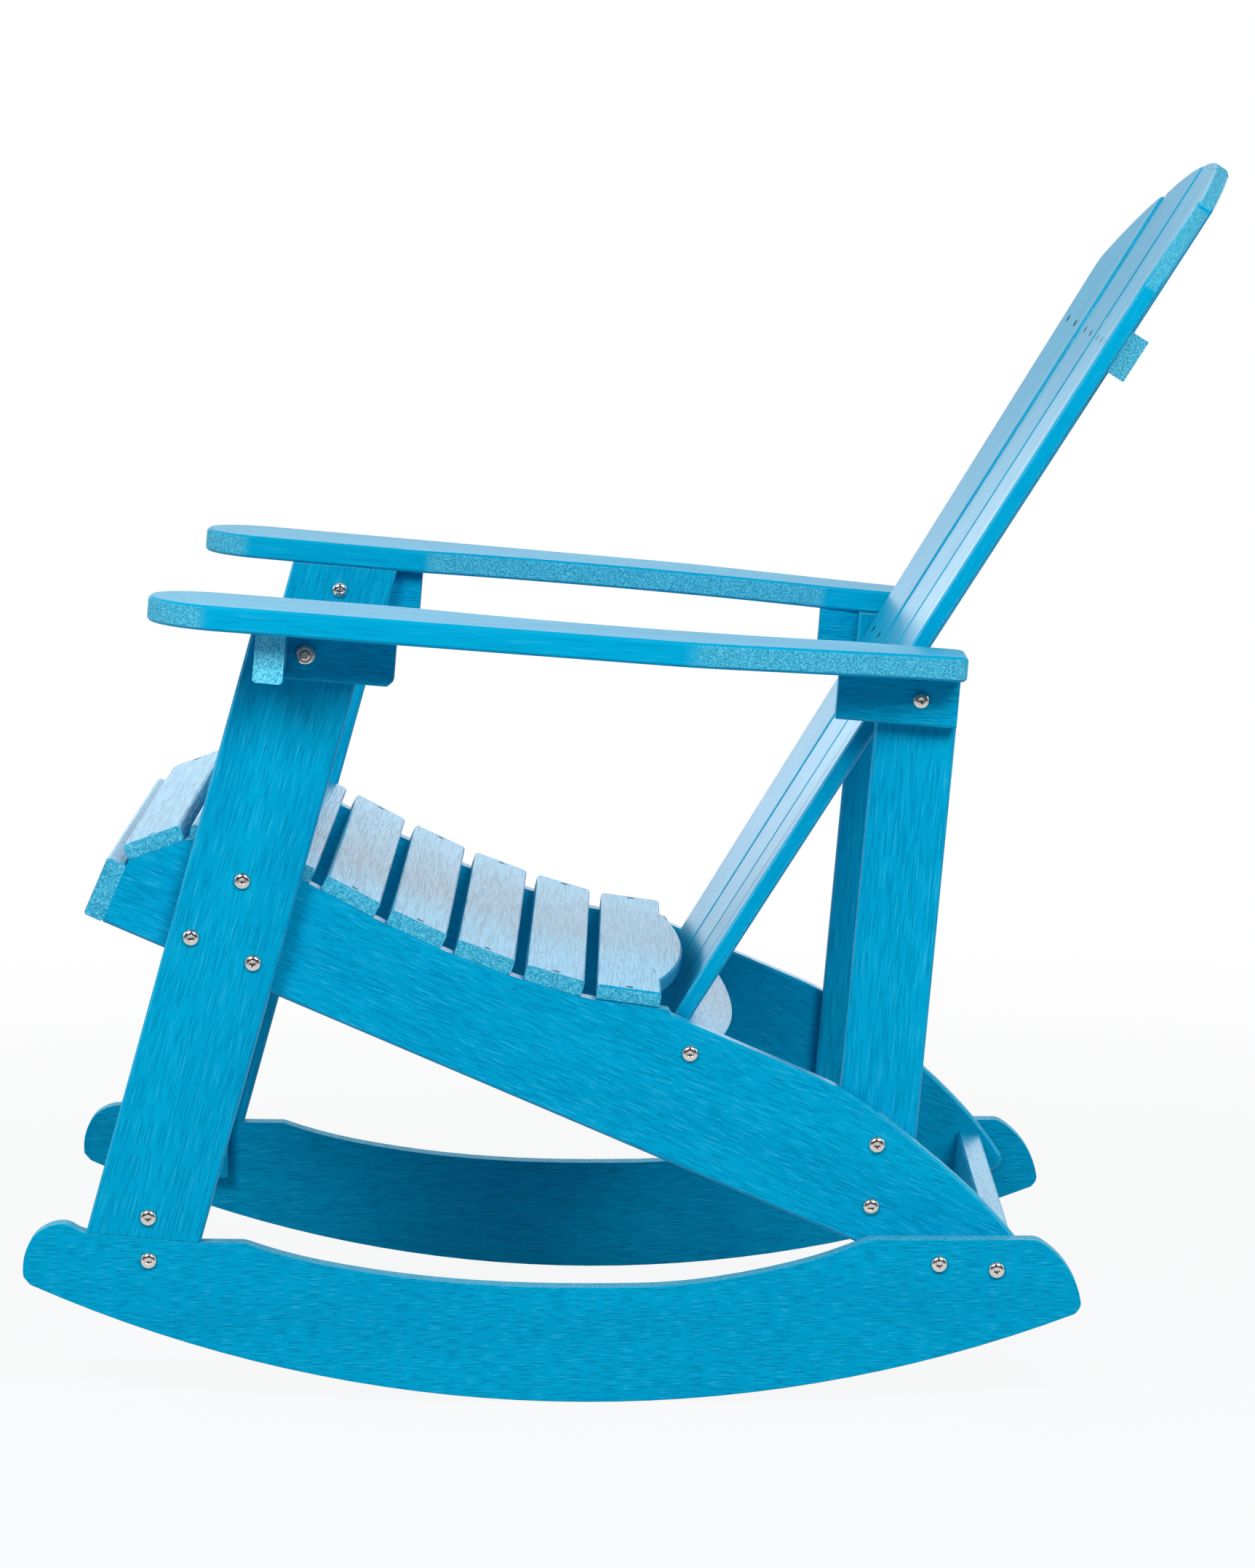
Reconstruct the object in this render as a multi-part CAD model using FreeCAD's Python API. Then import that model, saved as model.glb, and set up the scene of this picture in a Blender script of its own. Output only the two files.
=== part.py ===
import FreeCAD, Part
import math
import os

# A rocking slatted garden chair bolted together from plastic lumber boards, in millimetres.
# X runs across the chair, +Y to the rear, Z up. Side profiles are drawn in the (y, z) plane,
# with y = 0 over the point where the rockers touch the floor. The export centres the model on its box.
V = FreeCAD.Vector

# Lumber sections
board = 20.0
seat_slat_width = 48.5
seat_slat_thick = 13.0
back_slat_thick = 13.5
cleat_thick = 13.5
apron_thick = 16.5
eased = 2.2
curve_tolerance = 0.4
slat_eased = 1.8

# Widths across the chair
seat_width = 510.0

# Rockers
rocker_radius = 1100.0
rocker_nose = [V(0, -455.2, 102.5), V(0, -455.0, 116.0), V(0, -450.8, 129.0), V(0, -443.5, 138.8),
               V(0, -433.5, 144.0), V(0, -424.5, 146.0), V(0, -416.5, 144.5), V(0, -411.0, 141.4)]
rocker_tail_top = V(0, 361.5, 133.2)
rocker_tail_bulge = V(0, 384.6, 113.2)
rocker_tail_tip = V(0, 397.6, 78.5)
rocker_flat = 135.0
rocker_waist = [V(0, -229, 116.0), V(0, -158, 103.4), V(0, -87, 96.3), V(0, 0, 94.0), V(0, 89, 97.8),
                V(0, 160, 111.4), V(0, 206, 125.0)]
rocker_knee = V(0, -277.0, 130.2)
toe_rise = 5.5
toe_round = 3.0
tail_round = 9.0
knee_round = 14.0

# Front legs
leg_width = 91.0
leg_rake = 15.7
leg_foot = V(0, -404.4, 138.9)
foot_slope = -5.2

# Side rails
rail_slope = -23.3
rail_width = 111.0
rail_nose = 54.0
rail_toe = V(0, -390.4, 388.9)
rail_tail = [V(0, 183, 262.5), V(0, 222, 241.0), V(0, 254.8, 216.0), V(0, 293.3, 184.5), V(0, 343, 133.0),
             V(0, 367.5, 99.0)]
rail_end_slope = 38.0

# Seat slats: tilt of each one from the front, positive where it rises to the rear
slat_tilts = [20.2, -13.0, -27.5, -28.1, -25.0, -20.6, -16.6, -8.0]
slat_gap = 10.2
rear_slat_width = 52.0
scallop_radius = 1080.0
scallop_depth = 19.0
apron_height = 50.0
ledge_length = 7.0

# Rear legs
rear_leg_width = 65.0
rear_leg_lean = 5.2
rear_leg_front = V(0, 203.9, 248.0)

# Arms
arm_top = 631.0
arm_slope = -4.75
arm_width = 119.0
arm_splay = 3.7
arm_inner = 277.9
arm_front = -345.0
arm_rear = 303.0
arm_corner = 55.0
arm_rear_corner = 10.0
elbow_start = -152.0
elbow_end = 211.0
elbow_depth = 23.5
taper_start = 55.0
taper_curve = [(97.0, -3.5), (145.0, -15.0), (195.0, -27.5), (240.0, -38.5)]
taper_end = -48.5

# Arm brackets and blocks
bracket_height = 41.5
front_bracket_span = (-262.0, -151.0)
front_bracket_bolt_run = -223.8
rear_bracket_bolt_run = 266.6
rear_bracket_ahead = 65.1
rear_bracket_behind = 31.9
bracket_corner = 5.0
block_start = -260.0
block_width = 24.0
block_reach = 51.0

# Back
back_lean = 57.54
back_foot = V(0, 69.8, 283.0)
back_below = 15.0
back_slats = 5
back_pitch = 80.5
back_fan = 0.0309
back_fold = 2.65
back_gap = 3.0
back_top = 840.0
back_arch_radius = 342.0
back_shoulder = 21.0
back_corner = 5.0

# Back supports
support_depth = 27.0
support_radius = 1400.0
cleat_height = 38.0
cleat_place = 665.0
cleat_reach = 212.0
cleat_radius = 2230.0
coping = 14.0

# Rear stretcher
stretcher_height = 62.0
stretcher_top = V(0, 335.0, 125.5)
stretcher_tilt = 6.0

# Leg cleats
cleat_width = 56.0
leg_cleat_bottom = 84.0
leg_cleat_top = 186.0

# Fasteners
bolt_radius = 3.75
bolt_sides = 8
bolt_head_radius = 6.6
bolt_head_top = 4.4
bolt_head_height = 4.2
bolt_socket = 4.6
socket_depth = 2.4
bolt_fit = 0.25
nut_fit = 0.08
drill_start = 0.5
washer_radius = 7.6
washer_thick = 1.4
nut_size = 12.6
nut_height = 6.2
thread_past_nut = 2.0
end_grip = 28.0
screw_sides = 6
screw_head_radius = 3.0
screw_tip_radius = 1.3
screw_fit = 0.08
screw_length = 26.0
screw_spread = 0.21
screw_sink = 0.3

rail_in = seat_width / 2
rail_out = rail_in + board
side_out = rail_out + board
leg_in = rail_in - board
bracket_out = side_out + board
big = 2000.0


def heading(angle):
    a = math.radians(angle)
    return V(0, math.cos(a), math.sin(a))


def along(point, angle, distance):
    return point + heading(angle) * distance


def meet(p, a, q, b):
    # Where the line through p at angle a crosses the line through q at angle b
    da, db = heading(a), heading(b)
    wide = da.y * db.z - da.z * db.y
    t = ((q.y - p.y) * db.z - (q.z - p.z) * db.y) / wide
    return p + da * t


def polygon(points):
    return Part.makePolygon(points + [points[0]])


def plate(wire, x, thick):
    # A board with its outline in the (y, z) plane, from x outwards
    face = Part.Face(wire)
    face.translate(V(x, 0, 0))
    return face.extrude(V(thick, 0, 0))


def slab(points, x0, x1):
    return plate(polygon(points), x0, x1 - x0)


def near_edges(shape, spots, direction, reach=1.0):
    # Straight edges along a direction that pass within reach of a spot
    found = []
    for edge in shape.Edges:
        if not isinstance(edge.Curve, Part.Line):
            continue
        if abs(abs(edge.Curve.Direction.dot(direction)) - 1) > 1e-6:
            continue
        start = edge.Vertexes[0].Point
        for spot in spots:
            gap = spot - start
            gap = gap - direction * gap.dot(direction)
            if gap.Length < reach:
                found.append(edge)
                break
    return found


def round_corners(shape, spots, radius, direction=V(1, 0, 0)):
    return shape.makeFillet(radius, near_edges(shape, spots, direction))


def ease(shape, direction, size=eased):
    # Break the edges of the two broad faces, whose normals lie along the direction
    edges = []
    for face in shape.Faces:
        if not isinstance(face.Surface, Part.Plane):
            continue
        if abs(abs(face.normalAt(0, 0).dot(direction)) - 1) < 1e-6:
            edges += face.OuterWire.Edges
    return shape.makeChamfer(size, edges)


def at_sides(points, x0, x1):
    return [V(x, p.y, p.z) for x in (x0, x1) for p in points]


def mirrored(shape):
    return shape.mirror(V(0, 0, 0), V(1, 0, 0))


def ring(middle, way, radius, sides):
    # Corners of a regular polygon square to an axis, its flats at the radius
    helper = V(0, 0, 1) if abs(way.x) > 0.5 else V(1, 0, 0)
    u = way.cross(helper).normalize()
    v = way.cross(u)
    corner = radius / math.cos(math.pi / sides)
    angles = [math.pi * (2 * k + 1) / sides for k in range(sides)]
    return [middle + (u * math.cos(a) + v * math.sin(a)) * corner for a in angles]


def prism(start, way, radius, length, sides=bolt_sides):
    return Part.Face(polygon(ring(start, way, radius, sides))).extrude(way * length)


def trunk(start, way, near, far, length, sides):
    # A tapered prism whose flats lie at the near and far radius at its two ends
    low = ring(start, way, near, sides)
    high = ring(start + way * length, way, far, sides)
    faces = [Part.Face(polygon(low)), Part.Face(polygon(high))]
    for k in range(sides):
        after = (k + 1) % sides
        faces.append(Part.Face(polygon([low[k], low[after], high[after], high[k]])))
    solid = Part.Solid(Part.Shell(faces))
    if solid.Volume < 0:
        solid.reverse()
    return solid


def floor_curve(y):
    return V(0, y, rocker_radius - math.sqrt(rocker_radius ** 2 - y ** 2))


# Side profiles that several boards share
front_line = 90 - leg_rake
leg_back_foot = meet(leg_foot, foot_slope, along(leg_foot, front_line - 90, leg_width), front_line)
arm_datum = V(0, 0, arm_top)
arm_down = arm_slope - 90
arm_under = along(arm_datum, arm_down, board)
bracket_under = along(arm_under, arm_down, bracket_height)
rear_line = 90 - rear_leg_lean
rear_leg_back = along(rear_leg_front, rear_line - 90, rear_leg_width)
rail_nose_top = along(rail_toe, rail_slope + 90, rail_nose)
rail_upper = along(rail_toe, rail_slope + 90, rail_width)
back_up = heading(back_lean)
back_out = heading(back_lean - 90)


def slat_seats():
    # The two lower corners of each seat slat, chained along their top faces from the rail's nose
    seats = []
    count = len(slat_tilts)
    top = along(rail_nose_top, slat_tilts[0] + 90, seat_slat_thick)
    for i, tilt in enumerate(slat_tilts):
        width = rear_slat_width if i == count - 1 else seat_slat_width
        end = along(top, tilt, width)
        seats.append((along(top, tilt - 90, seat_slat_thick), along(end, tilt - 90, seat_slat_thick), tilt))
        if i < count - 1:
            top = along(end, (tilt + slat_tilts[i + 1]) / 2, slat_gap)
    return seats


seats = slat_seats()


def sweep(points):
    # A smooth curve through the points, drawn as tangent arcs
    curve = Part.BSplineCurve()
    curve.interpolate(points)
    return [piece.toShape() for piece in curve.toBiArcs(curve_tolerance)]


def line(a, b):
    return Part.LineSegment(a, b).toShape()


def arc(a, b, c):
    return Part.Arc(a, b, c).toShape()


def make_rocker():
    toe = floor_curve(rocker_nose[0].y + toe_rise)
    heel = floor_curve(rocker_tail_tip.y - 5)
    flat_front = rocker_tail_top - V(0, rocker_flat, 0)
    wire = Part.Wire([
        arc(toe, floor_curve(0), heel),
        line(heel, rocker_tail_tip),
        arc(rocker_tail_tip, rocker_tail_bulge, rocker_tail_top),
        line(rocker_tail_top, flat_front),
        *sweep([flat_front] + rocker_waist[::-1] + [rocker_knee]),
        line(rocker_knee, leg_back_foot),
        line(leg_back_foot, leg_foot),
        *sweep([leg_foot] + rocker_nose[::-1]),
        line(rocker_nose[0], toe)])
    rocker = plate(wire, rail_out, board)
    rocker = round_corners(rocker, [toe, rocker_nose[0]], toe_round)
    rocker = round_corners(rocker, [rocker_tail_tip], tail_round)
    rocker = round_corners(rocker, [rocker_knee, flat_front, rocker_tail_top], knee_round)
    return drill(rocker, [foot_bolt, tail_bolt, stretcher_bolt])


def make_front_leg():
    top_front = meet(leg_foot, front_line, arm_under, arm_slope)
    top_back = meet(leg_back_foot, front_line, arm_under, arm_slope)
    leg = slab([leg_foot, leg_back_foot, top_back, top_front], rail_out, side_out)
    leg = leg.makeChamfer(eased, near_long_edges(leg, front_line))
    return drill(leg, [shin_bolt] + rail_bolts + [front_bracket_bolt])


def near_long_lines(shape, direction):
    return [e for e in shape.Edges if isinstance(e.Curve, Part.Line)
            and abs(abs(e.Curve.Direction.dot(direction)) - 1) < 1e-6]


def near_long_edges(shape, angle):
    return near_long_lines(shape, heading(angle))


def make_side_rail():
    edges = []
    point = rail_nose_top
    for low, high, _ in seats:
        if (low - point).Length > 0.01:
            edges.append(line(point, low))
        edges.append(line(low, high))
        point = high
    ledge = along(point, seats[-1][2], ledge_length)
    slope_top = meet(ledge, -60, rail_upper, rail_slope)
    edges.append(line(point, ledge))
    edges.append(line(ledge, slope_top))
    tail_start = meet(rail_upper, rail_slope, rail_tail[0], 90)
    edges.append(line(slope_top, tail_start))
    edges += sweep([tail_start] + rail_tail[1:])
    end = meet(rail_tail[-1], rail_end_slope, rail_toe, rail_slope)
    edges.append(line(rail_tail[-1], end))
    edges.append(line(end, rail_toe))
    edges.append(line(rail_toe, rail_nose_top))
    rail = plate(Part.Wire(edges), rail_in, board)
    rail = round_corners(rail, [rail_tail[-1], end], tail_round)
    rail = rail.makeChamfer(eased, near_long_edges(rail, rail_slope))
    return drill(rail, rail_bolts + [tail_bolt, stretcher_bolt, support_bolt] + rear_leg_bolts)


def make_rear_leg():
    points = [meet(rear_leg_front, rear_line, rail_toe, rail_slope),
              meet(rear_leg_back, rear_line, rail_toe, rail_slope),
              meet(rear_leg_back, rear_line, arm_under, arm_slope),
              meet(rear_leg_front, rear_line, arm_under, arm_slope)]
    leg = slab(points, leg_in, rail_in)
    leg = leg.makeChamfer(eased, near_long_edges(leg, rear_line))
    return drill(leg, rear_leg_bolts + [rear_bracket_bolt])


def make_leg_cleat():
    y = foot_bolt[0].y
    half = cleat_width / 2
    points = [V(0, y - half, leg_cleat_bottom), V(0, y + half, leg_cleat_bottom),
              V(0, y + half, leg_cleat_top), V(0, y - half, leg_cleat_top)]
    cleat = slab(points, rail_in, rail_out)
    cleat = cleat.makeChamfer(eased, near_long_edges(cleat, 90))
    return drill(cleat, [foot_bolt, shin_bolt])


def arm_point(x, run):
    # A point of the arm's top face, run being measured to the rear along the level
    return V(x, run, arm_top + run * math.tan(math.radians(arm_slope)))


def board_edge(run, across=0.0):
    # The arm board's straight inner edge, or a line that far outside it
    return arm_inner - (run + 200) * math.tan(math.radians(arm_splay)) + across


def make_arm():
    outer_end = board_edge(arm_rear, arm_width + taper_end)
    elbow_mid = (elbow_start + elbow_end) / 2
    def at(run, across=0.0):
        return arm_point(board_edge(run, across), run)
    taper = [at(taper_start, arm_width)] + [at(run, arm_width + cut) for run, cut in taper_curve]
    taper.append(arm_point(outer_end, arm_rear))
    wire = Part.Wire([
        line(at(arm_front), at(arm_front, arm_width)),
        line(at(arm_front, arm_width), at(taper_start, arm_width)),
        *sweep(taper),
        line(taper[-1], at(arm_rear)),
        line(at(arm_rear), at(elbow_end)),
        arc(at(elbow_end), at(elbow_mid, elbow_depth), at(elbow_start)),
        line(at(elbow_start), at(arm_front))])
    down = heading(arm_down)
    arm = Part.Face(wire).extrude(down * board)
    arm = round_corners(arm, [at(arm_front), at(arm_front, arm_width)], min(arm_corner, 0.48 * arm_width), down)
    arm = round_corners(arm, [at(arm_rear), taper[-1]], arm_rear_corner, down)
    return ease(arm, down)


def arm_box(start, end, top, height, x0, x1):
    # A block in line with the arm, hung from the line through top
    front = meet(V(0, start, 0), 90, top, arm_slope)
    back = meet(V(0, end, 0), 90, top, arm_slope)
    points = [front, back, along(back, arm_down, height), along(front, arm_down, height)]
    return slab(points, x0, x1), points


def make_front_bracket():
    start, end = front_bracket_span
    bracket, points = arm_box(start, end, arm_under, bracket_height, side_out, bracket_out)
    lower = at_sides(points[3:], side_out, bracket_out)
    bracket = bracket.makeChamfer(slat_eased, near_edges(bracket, lower, heading(arm_slope)))
    bracket = bracket.makeChamfer(bracket_corner, near_edges(bracket, points[2:3], V(1, 0, 0), bracket_corner))
    return drill(bracket, [front_bracket_bolt])


def make_front_block():
    block, points = arm_box(block_start, block_start + block_width, arm_under, bracket_height,
                            bracket_out, bracket_out + block_reach)
    return block.makeChamfer(eased, near_edges(block, points, V(1, 0, 0)))


def make_rear_bracket():
    start, end = rear_bracket_bolt_run - rear_bracket_ahead, rear_bracket_bolt_run + rear_bracket_behind
    bracket, points = arm_box(start, end, arm_under, bracket_height, rail_in, rail_out)
    lower = at_sides(points[3:], rail_in, rail_out)
    bracket = bracket.makeChamfer(slat_eased, near_edges(bracket, lower, heading(arm_slope)))
    return drill(bracket, [rear_bracket_bolt])


def make_apron():
    front = along(rail_toe, rail_slope, -apron_thick)
    lean = rail_slope + 90
    points = [rail_toe, front, along(front, lean, apron_height), along(rail_toe, lean, apron_height)]
    apron = slab(points, -rail_out, rail_out)
    apron = apron.makeChamfer(slat_eased, near_edges(apron, points, V(1, 0, 0)))
    return sink_screws(apron, apron_screws)


def make_seat_slat(index):
    low, high, tilt = seats[index]
    points = [low, high, along(high, tilt + 90, seat_slat_thick), along(low, tilt + 90, seat_slat_thick)]
    slat = slab(points, -rail_out, rail_out)
    slat = slat.makeChamfer(slat_eased, near_edges(slat, points, V(1, 0, 0)))
    return sink_screws(slat, [s for s in seat_screws if s[2] == index])


def make_rear_seat_slat():
    low, high, tilt = seats[-1]
    normal = heading(tilt + 90)
    half_chord = math.sqrt(2 * scallop_radius * scallop_depth - scallop_depth ** 2)
    apex = along(high, tilt, scallop_depth)
    side = V(rail_out, 0, 0)
    bump = V(half_chord, 0, 0)
    wire = Part.Wire([
        line(low - side, low + side),
        line(low + side, high + side),
        line(high + side, high + bump),
        arc(high + bump, apex, high - bump),
        line(high - bump, high - side),
        line(high - side, low - side)])
    slat = Part.Face(wire).extrude(normal * seat_slat_thick)
    slat = slat.makeFillet(knee_round, near_edges(slat, [high + bump, high - bump], normal))
    slat = ease(slat, normal, slat_eased)
    return sink_screws(slat, [s for s in seat_screws if s[2] == len(seats) - 1])


def back_frame(index):
    # Origin and axes of one back slat: across it, up it and out of its rear face
    side = (index > 0) - (index < 0)
    across, depth = 0.0, 0.0
    pitch = back_pitch
    for step in range(1, abs(index) + 1):
        before = math.radians(back_fold * (step - 1))
        after = math.radians(back_fold * step)
        across += pitch / 2 * (math.cos(before) + math.cos(after))
        depth += pitch / 2 * (math.sin(before) + math.sin(after))
    turn = math.radians(back_fold * index)
    origin = back_foot + V(side * across, 0, 0) - back_out * depth
    u = V(1, 0, 0) * math.cos(turn) - back_out * math.sin(turn)
    n = back_out * math.cos(turn) + V(1, 0, 0) * math.sin(turn)
    return origin, u, n


def slat_edge(index, height, side, gap=0.0, extra=0.0):
    # How far a back slat's left (-1) or right (+1) edge lies from its middle at the foot
    spread = back_fan * height
    return index * spread + side * ((back_pitch + spread - gap) / 2 + extra)


def back_plate(index, low, high, near, far, gap=0.0, extra_left=0.0, extra_right=0.0):
    origin, u, n = back_frame(index)
    corners = [(slat_edge(index, low, -1, gap, extra_left), low), (slat_edge(index, low, 1, gap, extra_right), low),
               (slat_edge(index, high, 1, gap, extra_right), high), (slat_edge(index, high, -1, gap, extra_left), high)]
    points = [origin + u * a + back_up * h + n * near for a, h in corners]
    return Part.Face(polygon(points)).extrude(n * (far - near))


def back_indices():
    half = (back_slats - 1) // 2
    return range(-half, half + 1)


def arch_region(index):
    # The outline of the whole back, drawn square to one slat
    origin, u, n = back_frame(index)
    middle = -origin.x / u.x
    wide = back_arch_radius * 0.9
    rise = math.sqrt(back_arch_radius ** 2 - wide ** 2)
    shoulder = back_top - back_arch_radius + rise
    bottom = -2 * back_below
    def at(x, height):
        return origin + u * (middle + x) + back_up * height - n * back_slat_thick
    wire = Part.Wire([
        line(at(-wide, bottom), at(wide, bottom)),
        line(at(wide, bottom), at(wide, shoulder)),
        arc(at(wide, shoulder), at(0, back_top), at(-wide, shoulder)),
        line(at(-wide, shoulder), at(-wide, bottom))])
    return Part.Face(wire).extrude(n * back_slat_thick * 3)


def top_corners(slat, index):
    # The edges through a back slat's thickness at its top, from left to right
    origin, u, n = back_frame(index)
    edges = [e for e in near_long_lines(slat, n) if (e.Vertexes[0].Point - origin).dot(back_up) > back_top / 2]
    return sorted(edges, key=lambda e: (e.Vertexes[0].Point - origin).dot(u))


def make_back_slat(index):
    origin, u, n = back_frame(index)
    slat = back_plate(index, -back_below, back_top + 50, 0, back_slat_thick, back_gap)
    slat = slat.common(arch_region(index)).Solids[0]
    left = top_corners(slat, index)[0]
    outer = (back_slats - 1) // 2
    left_radius = back_shoulder if index == -outer else back_corner
    right_radius = back_shoulder if index == outer else back_corner
    slat = slat.makeFillet(left_radius, [left])
    slat = slat.makeFillet(right_radius, [top_corners(slat, index)[-1]])
    slat = slat.makeChamfer(slat_eased, [e for e in slat.Edges if e.Length > back_top / 2])
    return sink_screws(slat, [s for s in back_screws if s[2] == index])


def back_cutters():
    # The space that the back slats take, without the gaps, run out past the ends of the supports
    outer = (back_slats - 1) // 2
    cutters = []
    for index in back_indices():
        left = seat_width / 2 if index == -outer else 0.0
        right = seat_width / 2 if index == outer else 0.0
        cutters.append(back_plate(index, -100, back_top, -60, back_slat_thick, 0.0, left, right))
    return cutters


def make_batten(centre, angle, half_length, depth, height, radius):
    # A curved batten across the chair, its front edge coped to the slats' rear faces.
    # The centre is its middle in the side profile, and the angle is that of its flat faces.
    run = heading(angle)
    normal = heading(angle + 90)
    reach = half_length + 1
    def at(x, back):
        bow = x * x / (2 * radius)
        return centre + V(x, 0, 0) + run * (back - bow) - normal * (height / 2)
    rear = depth / 2
    front = -depth / 2 - coping
    wire = Part.Wire([
        arc(at(-reach, rear), at(0, rear), at(reach, rear)),
        line(at(reach, rear), at(reach, front)),
        arc(at(reach, front), at(0, front), at(-reach, front)),
        line(at(-reach, front), at(-reach, rear))])
    batten = Part.Face(wire).extrude(normal * height)
    for cutter in back_cutters():
        batten = batten.cut(cutter)
    room = Part.makeBox(2 * half_length, 2 * big, 2 * big, V(-half_length, -big, -big))
    batten = batten.common(room)
    return sink_screws(batten.Solids[0], back_screws)


def make_support(end_centre, angle, half_length, bolt):
    # A batten that is bolted through the side pieces, placed by the middle of its ends
    centre = along(end_centre, angle, half_length ** 2 / (2 * support_radius))
    support = make_batten(centre, angle, half_length, support_depth, board, support_radius)
    return drill(support, [bolt, mirror_bolt(bolt)])


def make_cleat():
    centre = back_foot + back_up * cleat_place + back_out * (back_slat_thick + cleat_thick / 2)
    return make_batten(centre, back_lean - 90, cleat_reach, cleat_thick, cleat_height, cleat_radius)


def make_stretcher():
    top = stretcher_top
    down = -90 - stretcher_tilt
    front = along(top, down + 90, -board / 2)
    back = along(top, down + 90, board / 2)
    points = [front, back, along(back, down, stretcher_height), along(front, down, stretcher_height)]
    stretcher = slab(points, -rail_in, rail_in)
    stretcher = stretcher.makeChamfer(slat_eased, near_edges(stretcher, points, V(1, 0, 0)))
    return drill(stretcher, [stretcher_bolt, mirror_bolt(stretcher_bolt)])


# Bolts: the middle of the head's underside, the direction of the shank and the stack that it passes
def bolt(y, z, x, stack, into=0.0, way=-1):
    return (V(x, y, z), V(way, 0, 0), stack, into)


def mirror_bolt(item):
    start, way, stack, into = item
    return (V(-start.x, start.y, start.z), V(-way.x, 0, 0), stack, into)


foot_bolt = bolt(-354.0, 116.3, side_out, 2 * board)
shin_bolt = bolt(-354.0, 151.4, side_out, 2 * board)
rail_bolts = [bolt(-276.4, 424.9, side_out, 2 * board), bolt(-317.8, 379.1, side_out, 2 * board),
              bolt(-268.4, 358.5, side_out, 2 * board)]
tail_bolt = bolt(282.8, 113.5, side_out, 2 * board)
stretcher_bolt = bolt(329.1, 108.7, side_out, 2 * board, end_grip)
support_centre = V(0, 82.1, 281.9)
support_bolt = bolt(support_centre.y, support_centre.z, rail_out, board, end_grip)
rear_leg_bolts = [bolt(233.0, 207.4, rail_out, 2 * board), bolt(228.4, 156.7, rail_out, 2 * board)]
bracket_line = along(arm_under, arm_down, bracket_height / 2)
mid_centre = meet(V(0, rear_bracket_bolt_run, 0), 90, bracket_line, arm_slope)
rear_bracket_bolt = bolt(mid_centre.y, mid_centre.z, rail_out, 2 * board, end_grip)
front_bracket_centre = meet(V(0, front_bracket_bolt_run, 0), 90, bracket_line, arm_slope)
front_bracket_bolt = bolt(front_bracket_centre.y, front_bracket_centre.z, rail_out, 2 * board, 0.0, 1)
side_bolts = ([foot_bolt, shin_bolt] + rail_bolts + [tail_bolt, stretcher_bolt, support_bolt]
              + rear_leg_bolts + [rear_bracket_bolt, front_bracket_bolt])
all_bolts = side_bolts + [mirror_bolt(b) for b in side_bolts]


def drill(shape, bolts):
    for start, way, stack, into in bolts:
        length = stack + (into + bolt_fit if into else 0)
        reach = prism(start - way * drill_start, way, bolt_radius + bolt_fit, length + drill_start)
        shape = shape.cut(reach)
    return shape


def make_bolt(item):
    start, way, stack, into = item
    past = into if into else washer_thick + nut_height + thread_past_nut
    shank = prism(start, way, bolt_radius, stack + past)
    head = trunk(start, way * -1, bolt_head_radius, bolt_head_top, bolt_head_height, bolt_sides)
    floor = start - way * (bolt_head_height - socket_depth)
    socket = prism(floor, way * -1, bolt_socket / 2, socket_depth + drill_start, 6)
    return shank.fuse(head).cut(socket)


def make_washer(item):
    start, way, stack, into = item
    place = start + way * stack
    hole = prism(place, way, bolt_radius + bolt_fit, washer_thick)
    return prism(place, way, washer_radius, washer_thick).cut(hole)


def make_nut(item):
    start, way, stack, into = item
    place = start + way * (stack + washer_thick)
    nut = prism(place, way, nut_size / 2, nut_height, 6)
    return nut.cut(prism(place, way, bolt_radius + nut_fit, nut_height))


# Screws: where the axis meets the outer face, the direction inwards and the piece that they hold
def screw_sites_seat():
    sites = []
    for index, (low, high, tilt) in enumerate(seats):
        middle = (low + high) * 0.5 + heading(tilt + 90) * seat_slat_thick
        for side in (-1, 1):
            sites.append((middle + V(side * (rail_in + board / 2), 0, 0), heading(tilt - 90), index))
    return sites


def screw_sites_apron():
    lean = rail_slope + 90
    face = along(rail_toe, rail_slope, -apron_thick)
    sites = []
    for part in (0.25, 0.75):
        for side in (-1, 1):
            sites.append((along(face, lean, apron_height * part) + V(side * (rail_in + board / 2), 0, 0),
                          heading(rail_slope), "apron"))
    return sites


def screw_sites_back():
    # Two screws through each slat into each of the three cross pieces
    sites = []
    for height in (support_height, mid_height, cleat_place):
        for index in back_indices():
            origin, u, n = back_frame(index)
            width = back_pitch + back_fan * height
            for side in (-1, 1):
                across = index * back_fan * height + side * width * screw_spread
                sites.append((origin + u * across + back_up * height, n, index))
    return sites


support_height = (support_centre - back_foot).dot(back_up)
mid_height = (mid_centre - back_foot).dot(back_up)
seat_screws = screw_sites_seat()
apron_screws = screw_sites_apron()
back_screws = screw_sites_back()


def screw_solid(site, grow=0.0, above=0.0):
    # A countersunk screw as one tapered body, or its hole, which runs on out of the face
    face, way, _ = site
    flare = (screw_head_radius - screw_tip_radius) / screw_length
    top = face + way * (screw_sink - above)
    near = screw_head_radius + flare * above + grow
    return trunk(top, way, near, screw_tip_radius + grow, screw_length + above, screw_sides)


def sink_screws(shape, sites):
    for site in sites:
        shape = shape.cut(screw_solid(site, screw_fit, drill_start + screw_sink))
    return shape


def screw_group(sites):
    return Part.makeCompound([screw_solid(site) for site in sites])


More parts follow.
